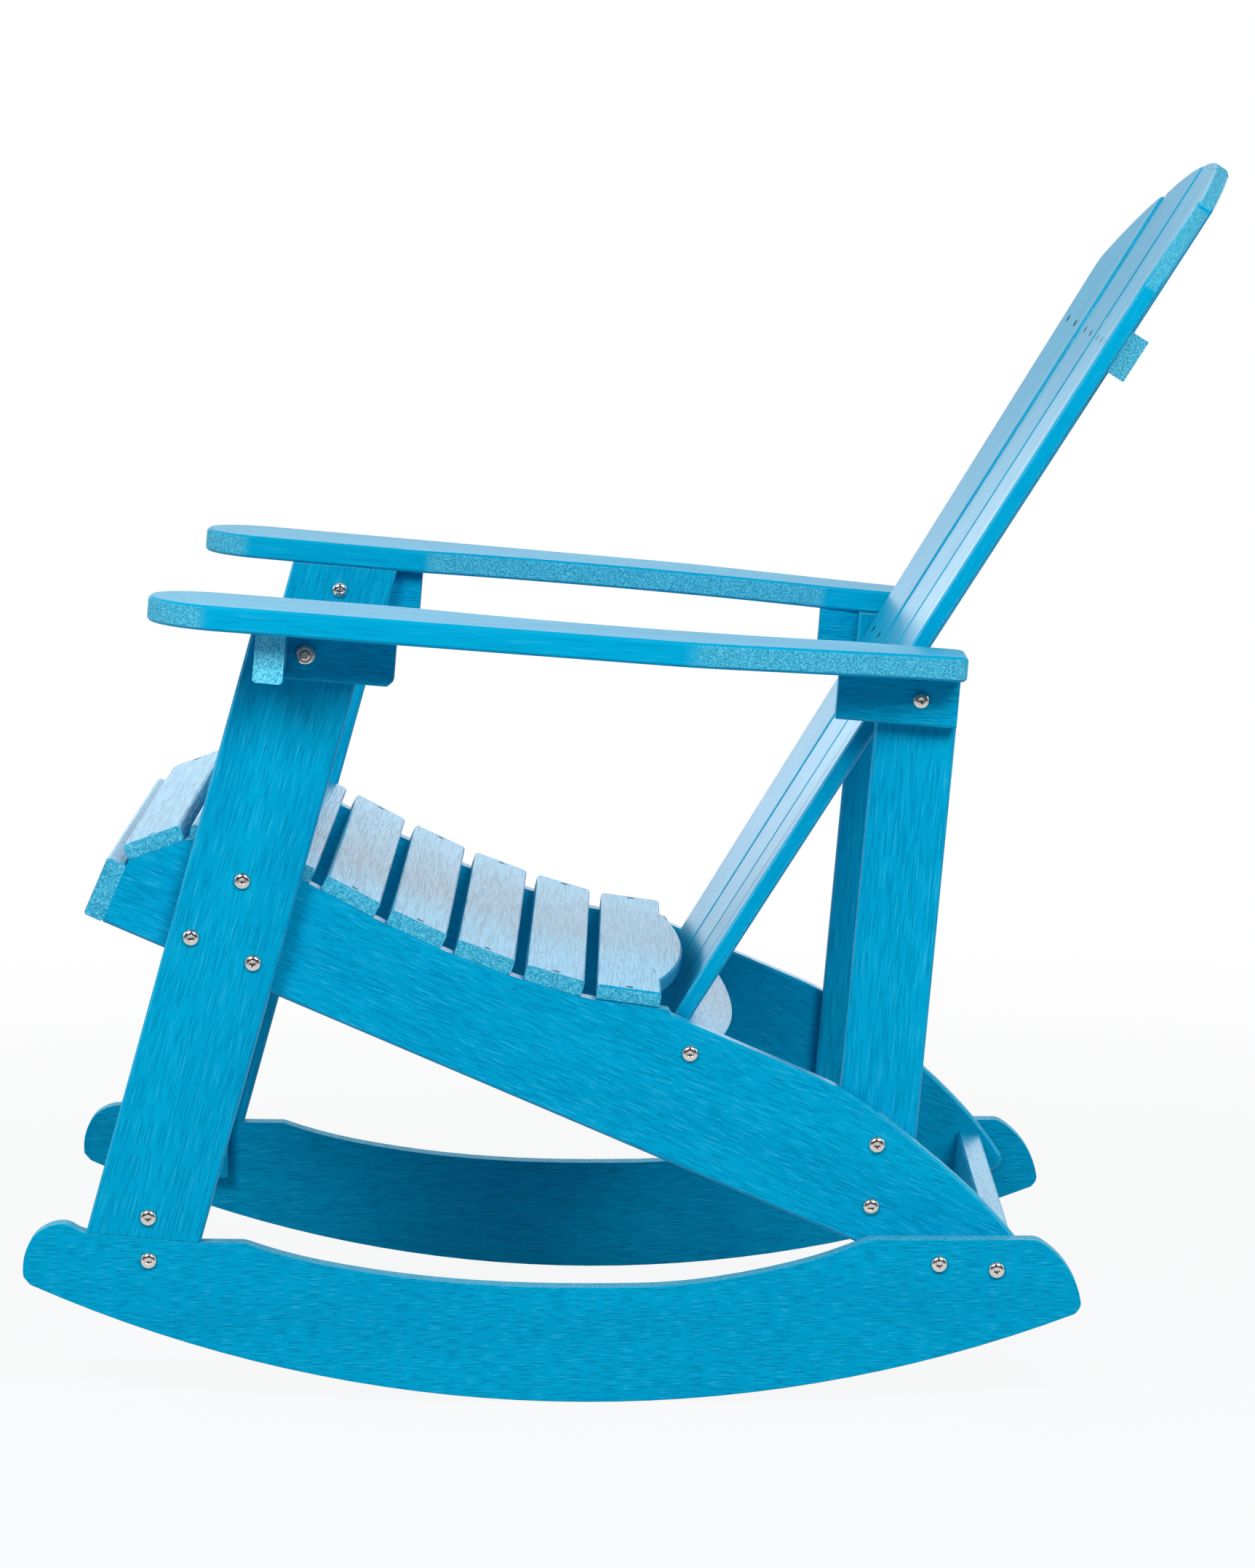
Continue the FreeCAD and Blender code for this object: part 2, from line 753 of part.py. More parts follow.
def build():
    shapes = {}
    pairs = {"rocker": make_rocker(), "front_leg": make_front_leg(), "rear_leg": make_rear_leg(),
             "side_rail": sink_screws(make_side_rail(), [s for s in seat_screws + apron_screws if s[0].x > 0]),
             "leg_cleat": make_leg_cleat(), "armrest": make_arm(), "front_arm_bracket": make_front_bracket(),
             "front_arm_block": make_front_block(), "rear_arm_bracket": make_rear_bracket()}
    for name, shape in pairs.items():
        shapes["left_" + name] = shape
        shapes["right_" + name] = mirrored(shape)
    shapes["front_apron"] = make_apron()
    for index in range(len(seats) - 1):
        shapes["seat_slat_" + str(index + 1)] = make_seat_slat(index)
    shapes["rear_seat_slat"] = make_rear_seat_slat()
    for count, index in enumerate(back_indices()):
        shapes["back_slat_" + str(count + 1)] = make_back_slat(index)
    shapes["lower_back_support"] = make_support(support_centre, rail_slope, rail_in, support_bolt)
    shapes["mid_back_support"] = make_support(mid_centre, back_lean - 90, leg_in, rear_bracket_bolt)
    shapes["upper_back_cleat"] = make_cleat()
    shapes["rear_stretcher"] = make_stretcher()
    shapes["frame_bolts"] = Part.makeCompound([make_bolt(b) for b in all_bolts])
    through = [b for b in all_bolts if not b[3]]
    shapes["frame_washers"] = Part.makeCompound([make_washer(b) for b in through])
    shapes["frame_nuts"] = Part.makeCompound([make_nut(b) for b in through])
    shapes["seat_screws"] = screw_group(seat_screws + apron_screws)
    shapes["back_screws"] = screw_group(back_screws)
    return shapes


def export(shapes):
    os.makedirs("parts", exist_ok=True)
    box = FreeCAD.BoundBox()
    for shape in shapes.values():
        box.add(shape.optimalBoundingBox(False, False))
    shift = V(0, -box.Center.y, -box.ZMin)
    for name, shape in shapes.items():
        moved = shape.copy()
        moved.translate(shift)
        moved.exportStep("parts/" + name + ".step")
    print("box", round(box.XLength, 1), round(box.YLength, 1), round(box.ZLength, 1), "shift", shift)


export(build())
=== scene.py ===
import math
import bmesh
import bpy
from mathutils import Matrix, Vector


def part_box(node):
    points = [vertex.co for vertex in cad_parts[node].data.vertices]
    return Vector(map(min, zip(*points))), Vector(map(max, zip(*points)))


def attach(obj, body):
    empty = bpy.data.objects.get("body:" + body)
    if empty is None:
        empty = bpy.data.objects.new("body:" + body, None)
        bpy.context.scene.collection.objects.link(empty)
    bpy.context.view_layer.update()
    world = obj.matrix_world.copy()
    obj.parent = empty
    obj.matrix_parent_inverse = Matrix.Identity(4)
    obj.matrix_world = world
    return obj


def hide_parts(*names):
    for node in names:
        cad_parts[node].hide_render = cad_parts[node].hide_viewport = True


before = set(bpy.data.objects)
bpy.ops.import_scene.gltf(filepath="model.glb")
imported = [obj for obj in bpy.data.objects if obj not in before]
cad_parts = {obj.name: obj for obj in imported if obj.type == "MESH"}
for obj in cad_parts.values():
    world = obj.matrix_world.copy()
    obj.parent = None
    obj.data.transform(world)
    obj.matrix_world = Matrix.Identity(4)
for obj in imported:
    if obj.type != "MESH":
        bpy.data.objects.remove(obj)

print("frame loaded")
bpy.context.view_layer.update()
scene = bpy.context.scene
mm = 0.001


def linearColour(hexCode):
    # sRGB hex to the linear values that the shaders take
    parts = [int(hexCode[i:i + 2], 16) / 255 for i in (1, 3, 5)]
    return tuple(c / 12.92 if c <= 0.04045 else ((c + 0.055) / 1.055) ** 2.4 for c in parts) + (1.0,)


def addNode(tree, kind, settings=None, **inputs):
    # Adds a node, sets its options, and fills its sockets with values or links
    node = tree.nodes.new(kind)
    for key, value in (settings or {}).items():
        setattr(node, key, value)
    for key, value in inputs.items():
        name = key.replace("_", " ")
        socket = node.inputs[int(name[5:])] if name.startswith("input") else node.inputs[name]
        if isinstance(value, bpy.types.NodeSocket):
            tree.links.new(value, socket)
        else:
            socket.default_value = value
    return node


# Node options that come back in several materials
smooth = {"interpolation_type": "SMOOTHSTEP"}
ownSpace = {"vector_type": "TEXTURE"}
blend = {"data_type": "RGBA"}
multiply = {"operation": "MULTIPLY"}
maximum = {"operation": "MAXIMUM"}
subtract = {"operation": "SUBTRACT"}
absolute = {"operation": "ABSOLUTE"}
lessThan = {"operation": "LESS_THAN"}


# Camera: about five metres off on the sitter's left, at the photograph's angle
camera = {"place": (5.31267, 0.00061, 1.09578), "pitch": 6.7389, "turn": 0.0757,
          "lens": 145.27, "sensor": 36, "clipEnd": 100}
cameraData = bpy.data.cameras.new("camera")
cameraData.lens = camera["lens"]
cameraData.sensor_width = camera["sensor"]
cameraData.sensor_fit = "AUTO"
cameraData.clip_end = camera["clipEnd"]
cameraObject = bpy.data.objects.new("camera", cameraData)
cameraObject.location = camera["place"]
cameraObject.rotation_euler = (math.radians(90 - camera["pitch"]), 0, math.radians(90 + camera["turn"]))
scene.collection.objects.link(cameraObject)
scene.camera = cameraObject
print("camera placed")


def freshMaterial(name):
    # A material without nodes, and its tree
    material = bpy.data.materials.new(name)
    material.use_nodes = True
    material.node_tree.nodes.clear()
    return material, material.node_tree


# Plastic lumber: foamed polyethylene boards, extruded and embossed with a wood grain.
# The eye sees a bright blue satin skin with fine grain scores along each board, painted dark as their shade,
# and where a board is sawn, the lighter matt foam inside it with small open cells, painted dark as their shade.
lumber = {
    "skin": "#00A2CC", "skinDeep": "#009BC6", "skinPale": "#00A8D1",
    "deepAt": 0.30, "skinAt": 0.50, "paleAt": 0.70,     # their places in the skin's slow drift
    "driftLength": 300 * mm, "driftWidth": 50 * mm,
    "driftNoise": {"Scale": 1.0, "Detail": 2.0},
    "gloss": "#1FB4E0",         # seen straight on, the skin's gloss keeps the pigment's blue
    "ior": 1.50,
    # Grain dashes that the embossing roll presses, painted darker than the skin as the shade that falls in them
    "scoreShade": "#0080AE", "scoreShadeShare": 0.45, "dashGap": 1.2 * mm,
    "dashNoise": {"Scale": 1.0, "Detail": 1.0, "Roughness": 0.5, "Distortion": 0.1},
    "dashRange": {"From_Min": 0.345, "From_Max": 0.42, "To_Min": 1.0, "To_Max": 0.0},
    # Ridges between them, painted pale as highlights where they catch the light
    "ridgeHighlight": "#3CC0E2", "ridgeHighlightShare": 0.34, "ridgeHighlightRange": {"From_Min": 0.60, "From_Max": 0.70},
    # Long shallow lines that run between the dashes
    "lineLength": 80 * mm, "lineGap": 1.6 * mm,
    "lineNoise": {"Scale": 1.0, "Detail": 3.0, "Roughness": 0.6},
    "grainDepth": 0.26 * mm, "lineRise": 1.1, "dashFall": -0.9,
    # Foam on the sawn faces. Its cells are finer, and drawn this coarse to show
    "foam": "#3FB2D3", "foamPale": "#74CBE0",
    "paintedLightFoam": "#5CD6F0", "paintedLightFoamPale": "#94E8F6",     # painted light: a paler foam for short pieces, making up for the shadow they lie in
    "foamRoughness": 0.62, "paleRange": {"From_Min": 0.50, "From_Max": 0.66},
    # Painted shade: the open cells' colour, darker for the shade in them
    "cellShade": "#1B92B8", "cellShadeShare": 0.55, "cellSize": 1.3 * mm, "cellDepth": 0.30 * mm,
    "cellNoise": {"Detail": 2.0, "Roughness": 0.65},
    "cellRange": {"From_Min": 0.36, "From_Max": 0.46, "To_Min": 1.0, "To_Max": 0.0},
    # Where the skin ends
    "broadAbove": 0.55,                                 # cosine above which a face is a broad one
    "fadeFrom": 3.0 * mm, "fadeTo": 0.4 * mm,           # in from the first edge of a board with curved ends
}
allRound = 2.0          # above any cosine, so that every edge counts as sawn

# What a board has where its own dictionary doesn't say otherwise. Tilt is in degrees from +Y and splay about Z.
# Its kind says how it lies: on edge in a side, flat across the chair, or flat along it. An edge that turns from
# the board's width by more than sawnBelow's cosine is sawn. Dash is the usual length of its grain dashes, and
# easing the width of its broken edges. Middle and halfWidth are for boards with curved ends.
plainBoard = {"kind": "side", "tilt": 0.0, "splay": 0.0, "sawnBelow": 0.97, "grain": 1.0, "dash": 16 * mm,
              "foam": "foam", "roughness": 0.34, "shine": 0.5, "middle": None, "halfWidth": 0.0,
              "easing": 0.7 * mm, "easingSteps": 2, "sharpAbove": 24}
boardAxes = {"side": "YXZ", "cross": "XZY", "long": "YZX"}      # along, through and across


def lumberMaterial(name, board):
    along, through, across = boardAxes[board["kind"]]
    material, tree = freshMaterial(name)
    place = addNode(tree, "ShaderNodeTexCoord")
    turn = (math.radians(board["tilt"]), 0, math.radians(board["splay"]))
    grain = board["grain"]

    def stretched(lengthwise, sideways):
        # The board's own space, drawn out along it and a little through it
        size = {along: lengthwise, across: sideways, through: sideways * 2}
        return addNode(tree, "ShaderNodeMapping", ownSpace, Vector=place.outputs["Object"], Rotation=turn,
                       Scale=tuple(size[axis] for axis in "XYZ")).outputs["Vector"]

    # Which faces are sawn
    facing = addNode(tree, "ShaderNodeMapping", ownSpace, Vector=place.outputs["Normal"], Rotation=turn)
    facing = addNode(tree, "ShaderNodeSeparateXYZ", Vector=facing.outputs["Vector"])
    broad = addNode(tree, "ShaderNodeMath", absolute, input0=facing.outputs[through]).outputs[0]
    edgewise = addNode(tree, "ShaderNodeMath", absolute, input0=facing.outputs[across]).outputs[0]
    offBroad = addNode(tree, "ShaderNodeMath", lessThan, input0=broad, input1=lumber["broadAbove"]).outputs[0]
    offEdge = addNode(tree, "ShaderNodeMath", lessThan, input0=edgewise, input1=board["sawnBelow"]).outputs[0]
    if board["middle"]:
        # A board with curved ends keeps its skin only where it still has its first width
        half = board["halfWidth"]
        own = addNode(tree, "ShaderNodeMapping", ownSpace, Vector=place.outputs["Object"],
                      Location=board["middle"], Rotation=turn)
        own = addNode(tree, "ShaderNodeSeparateXYZ", Vector=own.outputs["Vector"])
        fromMiddle = addNode(tree, "ShaderNodeMath", absolute, input0=own.outputs[across]).outputs[0]
        offEdge = addNode(tree, "ShaderNodeMapRange", smooth, Value=fromMiddle, From_Min=half - lumber["fadeFrom"],
                          From_Max=half - lumber["fadeTo"], To_Min=1.0, To_Max=0.0).outputs["Result"]
    sawn = addNode(tree, "ShaderNodeMath", multiply, input0=offBroad, input1=offEdge).outputs[0]
    onSkin = addNode(tree, "ShaderNodeMath", subtract, input0=1.0, input1=sawn).outputs[0]

    # Embossed grain: dashes where a stretched noise is low, and long shallow lines
    dashes = addNode(tree, "ShaderNodeTexNoise", Vector=stretched(board["dash"], lumber["dashGap"]),
                     **lumber["dashNoise"]).outputs["Fac"]
    dashMask = addNode(tree, "ShaderNodeMapRange", smooth, Value=dashes, **lumber["dashRange"]).outputs["Result"]
    lines = addNode(tree, "ShaderNodeTexNoise", Vector=stretched(lumber["lineLength"], lumber["lineGap"]),
                    **lumber["lineNoise"]).outputs["Fac"]
    fallen = addNode(tree, "ShaderNodeMath", multiply, input0=dashMask, input1=lumber["dashFall"] * grain)
    grainHeight = addNode(tree, "ShaderNodeMath", {"operation": "MULTIPLY_ADD"}, input0=lines,
                          input1=lumber["lineRise"] * grain, input2=fallen.outputs[0]).outputs[0]

    # Skin: blues that drift along the board, with painted shade in its scores and painted highlights on its pale
    # ridges
    drift = addNode(tree, "ShaderNodeTexNoise", Vector=stretched(lumber["driftLength"], lumber["driftWidth"]),
                    **lumber["driftNoise"]).outputs["Fac"]
    skin = addNode(tree, "ShaderNodeValToRGB", Fac=drift)
    deep, pale = skin.color_ramp.elements
    deep.position, deep.color = lumber["deepAt"], linearColour(lumber["skinDeep"])
    pale.position, pale.color = lumber["paleAt"], linearColour(lumber["skinPale"])
    skin.color_ramp.elements.new(lumber["skinAt"]).color = linearColour(lumber["skin"])
    # Painted shade: the pressed dashes are darkened in colour for the shade in their grooves
    scoreShading = addNode(tree, "ShaderNodeMath", multiply, input0=dashMask, input1=lumber["scoreShadeShare"] * grain)
    skinWithPaintedLight = addNode(tree, "ShaderNodeMix", blend, Factor=scoreShading.outputs[0], input6=skin.outputs["Color"],
                     input7=linearColour(lumber["scoreShade"])).outputs[2]
    # Painted highlight: pale colour on the ridges between the dashes
    ridgeHighlights = addNode(tree, "ShaderNodeMapRange", smooth, Value=dashes, To_Max=lumber["ridgeHighlightShare"] * grain,
                     **lumber["ridgeHighlightRange"]).outputs["Result"]
    skinWithPaintedLight = addNode(tree, "ShaderNodeMix", blend, Factor=ridgeHighlights, input6=skinWithPaintedLight,
                     input7=linearColour(lumber["ridgeHighlight"])).outputs[2]

    # Foam: pale walls, and open cells painted darker as the shade inside them
    cells = addNode(tree, "ShaderNodeTexNoise", Vector=place.outputs["Object"], Scale=1 / lumber["cellSize"],
                    **lumber["cellNoise"]).outputs["Fac"]
    cellMask = addNode(tree, "ShaderNodeMapRange", smooth, Value=cells, **lumber["cellRange"]).outputs["Result"]
    paleMask = addNode(tree, "ShaderNodeMapRange", smooth, Value=cells, **lumber["paleRange"]).outputs["Result"]
    cellHeight = addNode(tree, "ShaderNodeMath", subtract, input0=cells, input1=cellMask).outputs[0]
    foam = addNode(tree, "ShaderNodeMix", blend, Factor=paleMask, input6=linearColour(lumber[board["foam"]]),
                   input7=linearColour(lumber[board["foam"] + "Pale"])).outputs[2]
    cellShading = addNode(tree, "ShaderNodeMath", multiply, input0=cellMask, input1=lumber["cellShadeShare"]).outputs[0]
    foam = addNode(tree, "ShaderNodeMix", blend, Factor=cellShading, input6=foam,
                   input7=linearColour(lumber["cellShade"])).outputs[2]

    colour = addNode(tree, "ShaderNodeMix", blend, Factor=sawn, input6=skinWithPaintedLight, input7=foam).outputs[2]
    roughness = addNode(tree, "ShaderNodeMix", {"data_type": "FLOAT"}, Factor=sawn, input2=board["roughness"],
                        input3=lumber["foamRoughness"]).outputs[0]
    grainBump = addNode(tree, "ShaderNodeBump", Strength=onSkin, Distance=lumber["grainDepth"],
                        Height=grainHeight).outputs["Normal"]
    cellBump = addNode(tree, "ShaderNodeBump", Strength=sawn, Distance=lumber["cellDepth"], Height=cellHeight,
                       Normal=grainBump).outputs["Normal"]
    shader = addNode(tree, "ShaderNodeBsdfPrincipled", Base_Color=colour, Roughness=roughness, IOR=lumber["ior"],
                     Specular_IOR_Level=board["shine"], Specular_Tint=linearColour(lumber["gloss"]),
                     Normal=cellBump)
    addNode(tree, "ShaderNodeOutputMaterial", Surface=shader.outputs["BSDF"])
    return material


# Stainless steel, turned and polished: a bright grey mirror, a little soft, with faint tool marks
stainless = {"colour": "#E6E0D9", "dark": "#C4BEB6", "roughness": 0.11, "metallic": 1.0, "shine": 0.5}
# Screw steel painted near black: painted shade for the screws sunk in their holes, which reads as dark dots on the
# boards
screwShadeSteel = {"colour": "#101214", "dark": "#1C2024", "roughness": 0.70, "metallic": 0.0, "shine": 0.12}
# What both have: cloudy spots in colour and polish, and the marks of turning
turnedFinish = {"spotSize": 2.2 * mm, "spotDetail": 3.0, "glossiest": 0.8, "dullest": 1.3,
                "markSize": 0.35 * mm, "markDepth": 0.02 * mm, "markStrength": 0.12}


def steelMaterial(name, steel):
    finish = turnedFinish
    material, tree = freshMaterial(name)
    place = addNode(tree, "ShaderNodeTexCoord").outputs["Object"]
    spots = addNode(tree, "ShaderNodeTexNoise", Vector=place, Scale=1 / finish["spotSize"],
                    Detail=finish["spotDetail"]).outputs["Fac"]
    tint = addNode(tree, "ShaderNodeMix", blend, Factor=spots, input6=linearColour(steel["colour"]),
                   input7=linearColour(steel["dark"])).outputs[2]
    gloss = addNode(tree, "ShaderNodeMapRange", Value=spots, To_Min=steel["roughness"] * finish["glossiest"],
                    To_Max=steel["roughness"] * finish["dullest"]).outputs["Result"]
    marks = addNode(tree, "ShaderNodeTexNoise", Vector=place, Scale=1 / finish["markSize"]).outputs["Fac"]
    marks = addNode(tree, "ShaderNodeBump", Strength=finish["markStrength"], Distance=finish["markDepth"],
                    Height=marks).outputs["Normal"]
    shader = addNode(tree, "ShaderNodeBsdfPrincipled", Base_Color=tint, Roughness=gloss,
                     Metallic=steel["metallic"], Specular_IOR_Level=steel["shine"], Normal=marks)
    addNode(tree, "ShaderNodeOutputMaterial", Surface=shader.outputs["BSDF"])
    return material


brightSteel = steelMaterial("stainless_steel_turned", stainless)
screwShadeMaterial = steelMaterial("steel_painted_dark_as_shade", screwShadeSteel)
print("materials ready")


def finishPiece(piece, nodes):
    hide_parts(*nodes)
    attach(piece, "root")


def pieceFromMesh(name, workMesh, material):
    data = bpy.data.meshes.new(name)
    workMesh.to_mesh(data)
    workMesh.free()
    data.materials.append(material)
    piece = bpy.data.objects.new(name, data)
    scene.collection.objects.link(piece)
    return piece


def smoothBelow(piece, sharp):
    # Smooth shading, with edges kept sharp above an angle in degrees
    piece.data.shade_smooth()
    piece.data.set_sharp_from_angle(angle=math.radians(sharp))


merging = {"distance": 0.01 * mm, "flatBelow": 0.15}        # the second in degrees


def mergedMesh(node):
    # A node's loose triangles joined into one surface, with its flat faces made whole
    workMesh = bmesh.new()
    workMesh.from_mesh(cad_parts[node].data)
    bmesh.ops.remove_doubles(workMesh, verts=workMesh.verts, dist=merging["distance"])
    bmesh.ops.dissolve_limit(workMesh, angle_limit=math.radians(merging["flatBelow"]), verts=workMesh.verts,
                             edges=workMesh.edges)
    workMesh.normal_update()
    return workMesh


def dressBoard(node, board, material):
    # A board with softly broken edges and smooth curves
    piece = pieceFromMesh(node + "_board", mergedMesh(node), material)
    smoothBelow(piece, board["sharpAbove"])
    easing = piece.modifiers.new("easedEdges", "BEVEL")
    easing.width = board["easing"]
    easing.segments = board["easingSteps"]
    easing.limit_method = "ANGLE"
    easing.angle_limit = math.radians(board["sharpAbove"])
    easing.harden_normals = True
    easing.use_clamp_overlap = True
    finishPiece(piece, [node])


# Side frames, the same on both sides. The rockers are sawn to their curves all round.
armTilt = -4.75
rocker = dict(plainBoard, sawnBelow=allRound, dash=14 * mm, easing=0.9 * mm)
frontLeg = dict(plainBoard, tilt=74.3, dash=30 * mm)
sideRail = dict(plainBoard, tilt=-23.3)
rearLeg = dict(plainBoard, tilt=84.8, dash=30 * mm)
legCleat = dict(plainBoard, tilt=90.0, dash=30 * mm)
frontBracket = dict(plainBoard, tilt=armTilt, easing=1.3 * mm)
rearBracket = dict(plainBoard, tilt=armTilt)
# The arm block's sawn end takes the paler foam, painted light for the arm's shadow on it
armBlock = dict(plainBoard, kind="cross", tilt=armTilt, foam="paintedLightFoam")
sideBoards = {"rocker": rocker, "front_leg": frontLeg, "side_rail": sideRail, "rear_leg": rearLeg,
              "leg_cleat": legCleat, "front_arm_bracket": frontBracket, "rear_arm_bracket": rearBracket,
              "front_arm_block": armBlock}
sideLumber = {ending: lumberMaterial("foamed_lumber_" + ending, board) for ending, board in sideBoards.items()}

# Arm boards, splayed outwards to the front. Their curved ends are sawn, their straight edges keep the skin.
arm = dict(plainBoard, kind="long", tilt=armTilt, splay=3.7, grain=0.5, dash=45 * mm, roughness=0.44, shine=0.36,
           middle=(337.4 * mm, -237.7 * mm, 640 * mm), halfWidth=59.4 * mm)
for side, sign in (("left", 1), ("right", -1)):
    for ending, board in sideBoards.items():
        dressBoard(side + "_" + ending, board, sideLumber[ending])
    sideways, ahead, up = arm["middle"]
    ownArm = dict(arm, splay=sign * arm["splay"], middle=(sign * sideways, ahead, up))
    dressBoard(side + "_armrest", ownArm, lumberMaterial("foamed_lumber_" + side + "_arm", ownArm))
print("side frames dressed")

# Seat slats from the front, tilted with the seat's hollow. The rear one is sawn to its curve all round.
seatSlat = dict(plainBoard, kind="cross", grain=2.0, dash=48 * mm)
seatTilts = [20.2, -13.0, -27.5, -28.1, -25.0, -20.6, -16.6, -8.0]
for number, tilt in enumerate(seatTilts, 1):
    slat, node = dict(seatSlat, tilt=tilt), "seat_slat_" + str(number)
    if number == len(seatTilts):
        slat, node = dict(slat, sawnBelow=allRound), "rear_seat_slat"
    dressBoard(node, slat, lumberMaterial("foamed_lumber_seat_" + str(number), slat))

# Boards across the chair
backTilt = 57.54
apron = dict(plainBoard, kind="cross", tilt=sideRail["tilt"])
stretcher = dict(plainBoard, kind="cross", tilt=84.0)
lowerSupport = dict(plainBoard, kind="cross", tilt=sideRail["tilt"], easing=0.9 * mm)
midSupport = dict(plainBoard, kind="cross", tilt=backTilt - 90, easing=0.9 * mm)
# The upper cleat's sawn ends take the paler foam, painted light for the back slats' shadow on them
upperCleat = dict(midSupport, foam="paintedLightFoam")
crossBoards = {"front_apron": apron, "rear_stretcher": stretcher, "lower_back_support": lowerSupport,
               "mid_back_support": midSupport, "upper_back_cleat": upperCleat}
for node, board in crossBoards.items():
    dressBoard(node, board, lumberMaterial("foamed_lumber_" + node, board))
print("seat and cross pieces dressed")

# Back slats from the sitter's right, each turned by the fan's angle in degrees from the one before
backSlat = dict(plainBoard, kind="long", tilt=backTilt, sawnBelow=0.985, grain=0.4, dash=40 * mm, shine=0.36)
back = {"slats": 5, "fan": 1.77}
for number in range(1, back["slats"] + 1):
    fromMiddle = number - (back["slats"] + 1) // 2
    slat = dict(backSlat, splay=-fromMiddle * back["fan"])
    dressBoard("back_slat_" + str(number), slat, lumberMaterial("foamed_lumber_back_" + str(number), slat))
print("back dressed")


def looseParts(workMesh):
    # The separate solids of a group, as lists of vertices, in order of their places to a tenth of a millimetre
    parts, seen = [], set()
    for start in workMesh.verts:
        if start in seen:
            continue
        seen.add(start)
        reached = [start]
        for vert in reached:
            for edge in vert.link_edges:
                other = edge.other_vert(vert)
                if other not in seen:
                    seen.add(other)
                    reached.append(other)
        parts.append(reached)

    def middle(part):
        return tuple(round(c, 4) for c in sum((vert.co for vert in part), Vector()) / len(part))

    return sorted(parts, key=middle)


def extent(part):
    # The corners of a part's box
    return (Vector(tuple(min(v.co[axis] for v in part) for axis in range(3))),
            Vector(tuple(max(v.co[axis] for v in part) for axis in range(3))))


def turned(workMesh, profile, steps):
    # Spins a profile of (height, radius) in millimetres about the X axis
    verts = [workMesh.verts.new((height * mm, radius * mm, 0)) for height, radius in profile]
    edges = [workMesh.edges.new(pair) for pair in zip(verts, verts[1:])]
    bmesh.ops.spin(workMesh, geom=verts + edges, cent=(0, 0, 0), axis=(1, 0, 0), angle=math.tau, steps=steps,
                   use_merge=True, use_duplicate=False)
    bmesh.ops.remove_doubles(workMesh, verts=workMesh.verts, dist=0.001 * mm)


def extrudeRing(workMesh, ring):
    # Extrudes a ring of edges in place, and gives the new edges and vertices
    made = bmesh.ops.extrude_edge_only(workMesh, edges=ring)["geom"]
    return ([g for g in made if isinstance(g, bmesh.types.BMEdge)],
            [g for g in made if isinstance(g, bmesh.types.BMVert)])


def hexagonReach(vert, across):
    # How far a hexagon's side lies from the X axis in a vertex's direction, and that direction
    angle = math.atan2(vert.co.z, vert.co.y)
    return across / 2 * mm / math.cos((angle + math.pi / 6) % (math.pi / 3) - math.pi / 6), angle


def setInto(workMesh, small, place, way, roll):
    # Adds a turned piece with its X axis along way, rolled about it
    bmesh.ops.recalc_face_normals(small, faces=small.faces)
    frameTurn = way.to_track_quat("X", "Z").to_matrix().to_4x4()
    bmesh.ops.transform(small, matrix=Matrix.Translation(place) @ frameTurn @ Matrix.Rotation(roll, 4, "X"),
                        verts=small.verts)
    held = bpy.data.meshes.new("held")
    small.to_mesh(held)
    small.free()
    workMesh.from_mesh(held)
    bpy.data.meshes.remove(held)


sharpFastener = 28      # degrees, above a dome's steps and below a hexagon's corners


def finishFasteners(name, node, workMesh, material):
    piece = pieceFromMesh(name, workMesh, material)
    smoothBelow(piece, sharpFastener)
    finishPiece(piece, [node])


# Fasteners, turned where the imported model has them. Their sizes are in millimetres, and each next one of a kind
# is rolled on by its own angle in radians, as nobody lines them up.
# Button-head bolts: a dome with a hexagon socket, then a shank with a cut thread.
bolt = {"headRadius": 6.9, "headHeight": 4.0, "headEase": 0.25, "domeSteps": 8,
        "domeFall": 0.75,       # an exponent, at 1 the dome is part of an ellipse
        "socketRim": 2.9, "socketLip": 0.35, "socketAcross": 5.0, "socketDepth": 2.4, "socketPoint": 0.75,
        "shank": 3.7, "threadPitch": 1.25, "threadDepth": 0.35, "threadLength": 12.0,
        "tipLength": 0.5, "tipNeck": 0.1, "tipEase": 0.7, "steps": 30, "roll": 0.7}


def boltMesh(length):
    # The head lies to the left of its bearing face at 0, the shank to the right
    rim, radius, shank = bolt["socketRim"], bolt["headRadius"], bolt["shank"]
    profile = []
    for step in range(bolt["domeSteps"] + 1):
        angle = step / bolt["domeSteps"] * math.pi / 2
        profile.append((-bolt["headHeight"] * math.cos(angle) ** bolt["domeFall"],
                        rim + (radius - rim) * math.sin(angle)))
    profile += [(0, radius - bolt["headEase"]), (0, shank)]
    turns = int(bolt["threadLength"] / bolt["threadPitch"])
    for turn in range(turns):
        at = length - (turns - turn) * bolt["threadPitch"]
        profile += [(at, shank), (at + bolt["threadPitch"] / 2, shank - bolt["threadDepth"])]
    profile += [(length - bolt["tipLength"], shank - bolt["tipNeck"]), (length, shank - bolt["tipEase"]),
                (length, 0.0)]
    workMesh = bmesh.new()
    turned(workMesh, profile, bolt["steps"])

    # Socket: a lip that turns the round rim into a hexagon, a straight wall and a drilled point
    ring, lip = extrudeRing(workMesh, [edge for edge in workMesh.edges if edge.is_boundary])
    for vert in lip:
        reach, angle = hexagonReach(vert, bolt["socketAcross"])
        vert.co.y, vert.co.z = reach * math.cos(angle), reach * math.sin(angle)
    bmesh.ops.translate(workMesh, verts=lip, vec=(bolt["socketLip"] * mm, 0, 0))
    ring, wall = extrudeRing(workMesh, ring)
    bmesh.ops.translate(workMesh, verts=wall, vec=(bolt["socketDepth"] * mm, 0, 0))
    point = extrudeRing(workMesh, ring)[1]
    bmesh.ops.pointmerge(workMesh, verts=point, merge_co=(point[0].co.x + bolt["socketPoint"] * mm, 0, 0))
    return workMesh


